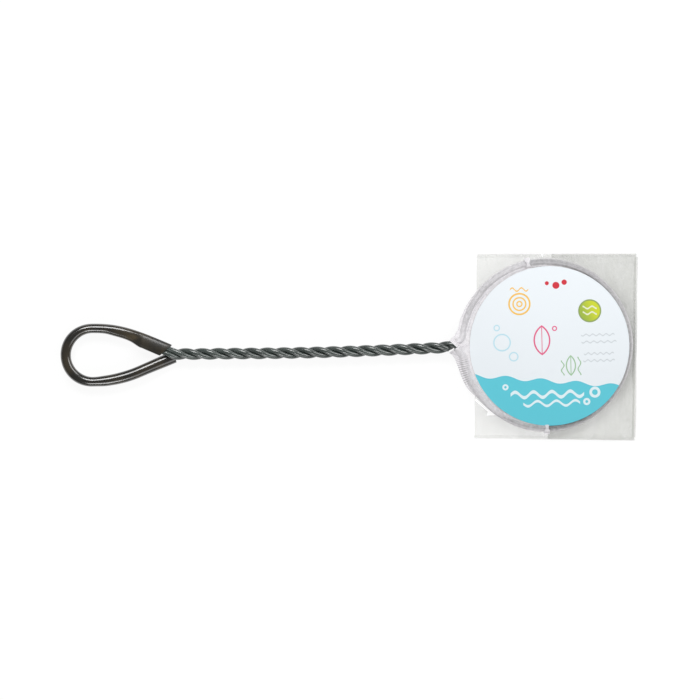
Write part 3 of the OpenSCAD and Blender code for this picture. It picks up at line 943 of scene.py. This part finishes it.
def bag_place(x, y, z):
    """From the folded bag's own axes to the part's."""
    u, v = (x / BAG_W + 0.5)[:, None], (y / BAG_H + 0.5)[:, None]
    low = BAG_CORNERS[0, 0] * (1 - u) + BAG_CORNERS[0, 1] * u
    high = BAG_CORNERS[1, 0] * (1 - u) + BAG_CORNERS[1, 1] * u
    return np.column_stack([low * (1 - v) + high * v, z])


def creases(x, y, seed):
    """Soft, mostly upright creases of cloth that was folded and pressed, from -1 to 1."""
    made = np.random.default_rng(seed)
    total = np.zeros(len(x))
    for _ in range(9):
        where = made.uniform(-0.05, 0.05)
        lean = made.uniform(-0.12, 0.12)
        wide = made.uniform(0.8, 2.6) * MM
        fold = made.choice([-1, 1]) * np.exp(-(((x - where - lean * y) / wide) ** 2))
        total += fold * (0.6 + 0.4 * np.sin(y * made.uniform(30, 90) + seed))
    total += 0.5 * np.sin(x * 210 + seed) * np.sin(y * 90 + 2 * seed)
    total += 0.35 * np.sin(x * 470 + y * 160 + seed)
    return np.tanh(total)


class NET_OT_bag(bpy.types.Operator):
    """Folds the mesh bag flat under the hoop and sews its edges"""

    bl_idname = "net.bag"
    bl_label = "Folded bag"

    def execute(self, context):
        wish = context.scene.net_bag
        mesh = self.mesh(wish, "bag_mesh", 1.0)
        side = self.mesh(wish, "bag_side_seam", 0.22)
        end = self.mesh(wish, "bag_end_seam", 0.95)
        sewn = [
            self.neck(mesh, "bag_near_neck", 102, 269, 41.2 * MM, 0.5 * MM),
            self.side_seam(side, "seam_upper", "upper_side_seam", HALF_H - SEAM_W / 2),
            self.side_seam(side, "seam_lower", "lower_side_seam", SEAM_W / 2 - HALF_H),
        ]
        near = self.layer(mesh, "bag_near_layer", "bag_near_panel", 150, BAG_W, self.near_place(wish))
        far = self.layer(mesh, "bag_far_layers", "bag_far_panel", 190, FAR_W, self.far_place(wish))
        sewn = [self.neck(mesh, "bag_far_neck", -90, 100, 43.1 * MM, 2.1 * MM), self.end_seam(end)]
        return {"FINISHED"}

    def layer(self, mesh, name, node, columns, width, place):
        sheet = softened(cloth_grid(columns, 170, place, (width / MM, BAG_H / MM)))
        return settle(sheet, name, mesh, nodes=[node])

    def near_place(self, wish):
        """The lowest layer, whose free edge at the handle's side is a little uneven."""

        def place(u, v):
            x = -HALF_W + u * (BAG_W - END_INSET)
            y = (v - 0.5) * (BAG_H - 2 * SIDE_INSET)
            level = NEAR_Z + wish.crease * creases(x, y, 3)
            return bag_place(x + (1 - smooth(u / 0.04)) * 0.35 * MM * np.sin(y * 95), y, level)

        return place

    def far_place(self, wish):
        """The second layer, the fold, and the third layer back over it."""

        def place(u, v):
            s = u * FAR_W
            y = (v - 0.5) * (BAG_H - 2 * SIDE_INSET)
            turn = np.clip((s - FAR_RUN) / FOLD_R, 0, math.pi)
            back = s > FAR_RUN + FOLD_ARC
            x = np.where(s < FAR_RUN, HALF_W - END_INSET - s, FOLD_X - FOLD_R * np.sin(turn))
            x = np.where(back, FOLD_X + (s - FAR_RUN - FOLD_ARC), x)
            free = smooth(np.abs(s - FAR_RUN - FOLD_R * 1.5) / (4 * MM))
            relief = wish.crease * free * np.where(back, creases(x, y, 11), creases(x, y, 7))
            level = FAR_Z + FOLD_R * (1 - np.cos(turn)) + relief
            return bag_place(x + (1 - free) * 0.3 * MM * np.sin(y * 140), y, level)

        return place

    def mesh(self, wish, name, weight):
        """See-through mesh: an open weave with a little loft between its threads."""
        finish = Finish(name)
        x, y = finish.x, finish.y
        sway = finish.noise(0.12, 2) * 1.4
        threads = weave(x + sway, y + sway, wish.pitch / MM).ramp(0.80, 0.97)
        cloud = finish.noise(0.13, 4, finish.stretched(finish.where, 1.0, 0.16), 0.6)
        grime = finish.noise(0.05, 2)
        # Round the far half of the hoop the mesh is a little denser and carries a painted shadow of the
        # hoop: its tone is darker there.
        shadow = distance(x, y).ramp(64.0, 51.0) * x.ramp(5.0, 25.0) * abs(y).ramp(44.0, 22.0)
        # The single layer beside the fold is a little denser than each of the three beyond it.
        single = x.ramp(4.0, -14.0) * (0.35 + y.ramp(-30.0, 10.0) * 0.65)
        cover = 0.17 + threads * 0.24 + (cloud - 0.5) * 0.36 + shadow * 0.10 + single * 0.10
        tone = (cloud * 1.3 + grime * 0.5 - 0.42 - shadow * 0.5).clamped()
        finish.set(Base_Color=finish.mix(tone, scaled(wish.colour, 0.80), scaled(wish.colour, 1.12)),
                   Roughness=0.55, Alpha=(cover * weight * (1.0 - self.openings(x, y))).clamped(),
                   Sheen_Weight=0.2)
        finish.bump(threads * 0.25 + cloud * 0.75, 0.18 * MM, 0.6)
        return finish.material

    def openings(self, x, y):
        """The slit and the gap between hem and fold at the lower left, and a nick in the upper edge."""
        along = (x + 42.6) * 0.748 + (y + 31.4) * -0.664
        across = (x + 42.6) * 0.664 + (y + 31.4) * 0.748
        slit = abs(across + 0.40).ramp(0.85, 0.60) * along.ramp(-0.3, 0.5) * along.ramp(11.4, 10.4)
        left = ((x + 36.2) * 0.94 - (y + 42.0) * 0.30).ramp(-0.15, 0.25)
        bottom = ((y + 42.0) * 0.998 - (x + 36.2) * 0.07).ramp(-0.15, 0.25)
        slope = ((-29.2 - x) * 0.77 + (-41.4 - y) * 0.64).ramp(-0.15, 0.25)
        nick = (y - 52.6 - abs(x + 0.3) * 2.4).ramp(0.0, 0.35)
        return (slit + left * bottom * slope + nick).clamped()

    def neck(self, material, name, start, end, foot_r, foot_z):
        """The mesh between the hem's inner edge and a layer, in fine pleats."""
        top_r, top_z = HOOP_R - NECK_INSET, AXIS_Z - NECK_DROP

        def place(u, v):
            turn = np.radians(start + u * (end - start))
            pleats = np.sin(turn * 58) * 0.35 * MM * np.sin(np.pi * v)
            pleats = pleats + np.sin(turn * 23) * 0.2 * MM * v * (1 - v) * 4
            reach = foot_r + (top_r - foot_r) * v + pleats
            return np.column_stack([rays(turn) * reach[:, None], foot_z + (top_z - foot_z) * v])

        obj = softened(cloth_grid(300, 8, place, (abs(end - start) * 0.76, 7)))
        return settle(obj, name, material)

    def side_seam(self, material, name, node, middle):
        """A doubled, turned-in edge with a row of needle dimples."""
        bottom, top = SIDE_SEAM_Z

        def place(u, v):
            turn = 2 * np.pi * v
            x = (u - 0.5) * BAG_W
            y = middle + SEAM_SWAY * np.sin(x * 160) + SEAM_W / 2 * np.cos(turn)
            pricks = np.sin(x / NEEDLE_PITCH * np.pi) ** 6 * np.exp(-((np.cos(turn) / 0.35) ** 2))
            thick = (top - bottom) / 2 - NEEDLE_DEPTH * pricks
            level = (bottom + top) / 2 + thick * np.tanh(2 * np.sin(turn))
            return bag_place(x, y, level)

        obj = cloth_grid(240, 16, place, (BAG_W / MM, 5))
        return settle(close_seam(obj), name, material, nodes=[node])

    def end_seam(self, material):
        """The doubled edge at the bag's end, between the side seams."""
        bottom, top = END_SEAM_Z
        span = BAG_H - 2 * SEAM_W

        def place(u, v):
            turn = 2 * np.pi * v
            y = (u - 0.5) * span
            x = HALF_W - SEAM_W / 2 + SEAM_SWAY * np.sin(y * 150) + SEAM_W / 2 * np.cos(turn)
            return bag_place(x, y, (bottom + top) / 2 + (top - bottom) / 2 * np.tanh(2 * np.sin(turn)))

        obj = cloth_grid(240, 16, place, (span / MM, 6))
        return settle(close_seam(obj), "seam_end", material, nodes=["end_seam"])


# The card's thickness and bevel, and how its middle and its radius differ from the CAD card's.
CARD_T, CARD_EDGE = 0.4 * MM, 0.06 * MM
CARD_SHIFT = Vector((-0.1, -0.75, 0)) * MM
CARD_GROWTH = 0.4 * MM
# The inks' colours, and how fully each one covers the paper.
INKS = {
    "foam": ((0.80, 0.93, 0.97), 1.0),
    "pink": ((0.80, 0.12, 0.26), 1.0),
    "blue": ((0.42, 0.74, 0.86), 0.8),
    "green": ((0.25, 0.50, 0.22), 0.85),
    "amber": ((0.93, 0.55, 0.09), 1.0),
    "red": ((0.66, 0.03, 0.05), 1.0),
    "moss": ((0.28, 0.38, 0.12), 1.0),
    "cream": ((0.85, 0.88, 0.66), 1.0),
    "grey": ((0.48, 0.52, 0.55), 0.55),
}
DEEP_LIME, PALE_LIME = (0.36, 0.50, 0.06), (0.64, 0.71, 0.03)
BADGE = (24.5, 20.5)
# What is printed, in order: an ink and its shapes, in millimetres from the card's middle. Each shape has
# its x and y. Then a ring has its radius and line, a disc its radius, a leaf its length, width and line,
# and a wave, or a wave that stands upright as a frond, its length, height, count of swings and line.
PRINT = (
    ("foam", (("wave", -2.0, -29.0, 44, 1.7, 4, 0.95), ("wave", 0.5, -34.4, 34, 1.5, 3, 0.7),
              ("ring", 26.5, -28.3, 2.5, 0.75), ("ring", 21.5, -33.8, 1.5, 0.6),
              ("ring", -27.0, -24.2, 1.3, 0.5))),
    ("pink", (("leaf", -4.5, 3.5, 17, 4.6, 0.4), ("ring", 3.2, 10.4, 1.2, 0.3))),
    ("blue", (("ring", -28.4, 2.6, 4.9, 0.34), ("ring", -21.6, -6.0, 2.5, 0.3),
              ("ring", -31.4, 11.4, 1.6, 0.28))),
    ("green", (("leaf", 12.5, -12.0, 11.5, 2.7, 0.3), ("frond", 17.6, -12.4, 11, 0.8, 1.5, 0.28),
               ("frond", 7.6, -13.4, 9, 0.8, 1.5, 0.28))),
    ("amber", (("ring", -17.5, 25.5, 6.2, 0.45), ("ring", -17.5, 25.5, 3.8, 0.38),
               ("ring", -17.5, 25.5, 1.5, 0.36), ("wave", -17.5, 34.2, 11, 1.0, 2, 0.38))),
    ("red", (("disc", 4.6, 36.2, 2.1), ("disc", 9.6, 38.0, 1.6), ("disc", -0.8, 37.6, 1.2))),
    ("lime", (("disc", *BADGE, 6.8),)),
    ("moss", (("ring", *BADGE, 6.5, 0.35),)),
    ("cream", (("wave", 24.5, 22.5, 8.4, 0.7, 1.5, 0.42), ("wave", 24.5, 19.1, 8.4, 0.7, 1.5, 0.42))),
    ("grey", (("wave", 29.0, 6.0, 20, 0.55, 5, 0.3), ("wave", 29.6, 1.8, 21, 0.55, 5, 0.3),
              ("wave", 29.4, -5.2, 18, 0.55, 5, 0.3), ("wave", 29.4, -9.4, 19, 0.55, 5, 0.3))),
)


class Drawing:
    """Shapes on the card, as masks, by the place from its middle in millimetres."""

    def __init__(self, x, y):
        self.x = x
        self.y = y

    def ring(self, x, y, radius, line):
        return abs(distance(self.x - x, self.y - y) - radius).ramp(line + 0.22, line - 0.12)

    def disc(self, x, y, radius):
        return distance(self.x - x, self.y - y).ramp(radius + 0.15, radius - 0.15)

    def stroke(self, along, off, length, height, swings, line):
        curve = (along * (2 * math.pi * swings / length)).sin() * height
        ends = abs(along).ramp(length / 2 + 0.2, length / 2 - 0.2)
        return abs(off - curve).ramp(line + 0.22, line - 0.1) * ends

    def wave(self, x, y, *form):
        return self.stroke(self.x - x, self.y - y, *form)

    def frond(self, x, y, *form):
        return self.stroke(self.y - y, self.x - x, *form)

    def leaf(self, x, y, length, width, line):
        """Two arcs that meet in points, with a midrib."""
        across, along = self.x - x, self.y - y
        bend = (length**2 / 4 + width**2) / (2 * width)
        sides = distance(across + (bend - width), along).highest(distance(across - (bend - width), along))
        rib = abs(across).ramp(0.38, 0.1) * abs(along).ramp(length / 2, length / 2 - 0.6)
        return abs(sides - bend).ramp(line + 0.2, line - 0.1).highest(rib)

    def band(self):
        """All below a wavy edge, which leans a little."""
        above = self.x * 0.0935 + self.y * 0.9956 + 20.9 + (self.x * (2 * math.pi / 21.0)).sin() * 1.2
        return above.ramp(0.12, -0.12)

    def sheen(self, x, y):
        """A slow change of shade across the disc that has its middle there."""
        return (self.x - x + (self.y - y) * 0.4).ramp(-6.0, 5.0)


class NET_OT_card(bpy.types.Operator):
    """Makes the printed round card that lies in the mouth"""

    bl_idname = "net.card"
    bl_label = "Round card"

    def execute(self, context):
        wish = context.scene.net_card
        middle = (card_low + card_high) / 2 + CARD_SHIFT
        radius = (card_high.y - card_low.y) / 2 + CARD_GROWTH
        slope = (card_high.z - card_low.z - CARD_T) / (2 * radius)
        deselect()
        bpy.ops.mesh.primitive_cylinder_add(vertices=256, radius=radius, depth=CARD_T,
                                            location=middle, rotation=(0, -math.atan(slope), 0))
        card = bpy.context.object
        bpy.ops.object.transform_apply(location=True, rotation=True, scale=True)
        apply_modifier(card, "BEVEL", width=CARD_EDGE, segments=2, limit_method="ANGLE")
        bpy.ops.object.shade_smooth_by_angle(angle=math.radians(35))
        finish = self.printed(wish, middle / MM, slope)
        settle(card, "round_card", finish, body=CARD, nodes=["card"])
        return {"FINISHED"}

    def printed(self, wish, middle, slope):
        """White card with a coloured band, bubbles, waves and water plants, and a plain grey back."""
        finish = Finish("printed_card")
        shapes = Drawing(finish.x - middle[0], finish.y - middle[1])
        band = shapes.band()
        picture = finish.mix(finish.noise(0.03, 1) * 0.5, wish.paper, scaled(wish.paper, 1.03))
        picture = finish.mix(band, picture, wish.band)
        lime = finish.mix(shapes.sheen(*BADGE), DEEP_LIME, PALE_LIME)
        for ink, motifs in PRINT:
            colour, cover = INKS.get(ink, (lime, 1.0))
            first, *others = (getattr(shapes, kind)(*form) for kind, *form in motifs)
            mask = first.highest(*others) * (band if ink == "foam" else cover)
            picture = finish.mix(mask, picture, colour)
        printed_side = (finish.z - middle[2] - shapes.x * slope).ramp(0.10, 0.14)
        fibre = finish.noise(2.0, 3)
        board = finish.mix(fibre, (0.70, 0.68, 0.64), (0.80, 0.78, 0.74))
        finish.set(Base_Color=finish.mix(printed_side, board, picture), Specular_IOR_Level=0.35,
                   Roughness=0.46 + (finish.noise(0.6, 3) * 0.14) + (1.0 - printed_side) * 0.3)
        finish.bump(fibre, 0.03 * MM, 0.3)
        return finish.material


FLOOR_SIZE = 80
FLOOR_MIDDLE = (-0.117, 0, -0.2 * MM)
# The lamps: name, place, size in metres and power in watts.
LAMPS = (
    ("left_lamp_up", (-0.305, 0.47, 0.60), (0.39, 0.24), 2.8),
    ("right_lamp_up", (0.50, 0.47, 0.60), (0.82, 0.40), 4.0),
    ("short_lamp_down", (-0.298, -0.50, 0.42), (0.21, 0.20), 0.85),
    ("wide_lamp_down", (0.12, -0.56, 0.60), (0.70, 0.40), 1.25),
)
LAMP_AIM = Vector((-0.12, 0.0, 0.0))
CAMERA_MIDDLE = (-0.11734, -0.00048)
CAMERA_HEIGHT = 1.7
SENSOR_WIDTH = 36


class NET_OT_stage(bpy.types.Operator):
    """Sets out the pale floor, the soft lamps and the camera over the net"""

    bl_idname = "net.stage"
    bl_label = "Floor, lamps and camera"

    def execute(self, context):
        wish = context.scene.net_stage
        self.floor()
        for lamp in LAMPS:
            self.lamp(wish, *lamp)
        self.sky(context)
        self.camera(context, wish)
        context.scene.view_settings.view_transform = "Standard"
        return {"FINISHED"}

    def floor(self):
        """A matt floor that the camera and the reflections see as white, with the net's soft shadow."""
        deselect()
        bpy.ops.mesh.primitive_plane_add(size=FLOOR_SIZE, location=FLOOR_MIDDLE)
        floor = bpy.context.object
        bpy.ops.object.transform_apply(location=True, rotation=True, scale=True)
        floor.name = "studio_floor"
        paint = Finish("studio_floor")
        paint.set(Base_Color=paint.mix(paint.noise(0.01, 1), (0.92, 0.92, 0.92), (0.94, 0.94, 0.94)),
                  Roughness=0.9)
        rays_seen = paint.add("ShaderNodeLightPath").outputs
        camera, glossy, through = (
            Maths(paint.tree, rays_seen[f"Is {kind} Ray"]) for kind in ("Camera", "Glossy", "Transmission"))
        glow = paint.add("ShaderNodeEmission", None, {"Strength": 1.05, "Color": (1, 1, 1)})
        blend = paint.add("ShaderNodeMixShader", None, {
            0: camera.highest(glossy, through) * 0.86, 1: paint.shader.outputs[0], 2: glow.outputs[0]})
        paint.tree.links.new(blend.outputs[0], paint.output.inputs["Surface"])
        floor.data.materials.append(paint.material)

    def lamp(self, wish, name, place, size, power):
        deselect()
        bpy.ops.object.light_add(type="AREA", location=place)
        lamp = bpy.context.object
        lamp.name = name
        lamp.data.shape = "RECTANGLE"
        lamp.data.size, lamp.data.size_y = size
        lamp.data.energy = power * wish.lamp
        lamp.rotation_mode = "QUATERNION"
        lamp.rotation_quaternion = (LAMP_AIM - lamp.location).to_track_quat("-Z", "Y")

    def sky(self, context):
        world = bpy.data.worlds.new("soft_room")
        context.scene.world = world
        world.use_nodes = True
        sky = world.node_tree.nodes["Background"]
        sky.inputs["Color"].default_value = (0.99, 0.99, 0.98, 1)
        sky.inputs["Strength"].default_value = 0.20

    def camera(self, context, wish):
        place = (*CAMERA_MIDDLE, CAMERA_HEIGHT + AXIS_Z)
        bpy.ops.object.camera_add(location=place, rotation=(0, 0, wish.roll))
        camera = bpy.context.object
        camera.name = "overhead_camera"
        camera.data.sensor_width = SENSOR_WIDTH
        camera.data.lens = SENSOR_WIDTH * CAMERA_HEIGHT / wish.width
        camera.data.clip_start = 0.05
        camera.data.clip_end = 200
        context.scene.camera = camera


class NET_PT_panel(bpy.types.Panel):
    """Lists the net's settings and the steps that make it"""

    bl_idname = "NET_PT_panel"
    bl_label = "Hand net"
    bl_space_type = "VIEW_3D"
    bl_region_type = "UI"
    bl_category = "Hand net"

    def draw(self, context):
        for group, step in STEPS:
            box = self.layout.box()
            box.operator(step)
            if group:
                settings = getattr(context.scene, group)
                for key in settings.__annotations__:
                    box.prop(settings, key)


STEPS = (
    ("net_wire", "net.wire"),
    ("net_sleeve", "net.sleeve"),
    ("net_hem", "net.hem"),
    (None, "net.stitches"),
    ("net_bag", "net.bag"),
    ("net_card", "net.card"),
    ("net_stage", "net.stage"),
)
SETTINGS = {
    "net_wire": NetWireSettings,
    "net_sleeve": NetSleeveSettings,
    "net_hem": NetHemSettings,
    "net_bag": NetBagSettings,
    "net_card": NetCardSettings,
    "net_stage": NetStageSettings,
}
CLASSES = (
    *SETTINGS.values(),
    NET_OT_wire,
    NET_OT_sleeve,
    NET_OT_hem,
    NET_OT_stitches,
    NET_OT_bag,
    NET_OT_card,
    NET_OT_stage,
    NET_PT_panel,
)


def register():
    for made in CLASSES:
        bpy.utils.register_class(made)
    for name, group in SETTINGS.items():
        setattr(bpy.types.Scene, name, PointerProperty(type=group))


def unregister():
    for name in SETTINGS:
        delattr(bpy.types.Scene, name)
    for made in reversed(CLASSES):
        bpy.utils.unregister_class(made)


def main():
    register()
    bpy.ops.net.wire()
    bpy.ops.net.sleeve()
    bpy.ops.net.hem()
    bpy.ops.net.stitches()
    bpy.ops.net.bag()
    bpy.ops.net.card()
    bpy.ops.net.stage()


if __name__ == "__main__":
    main()
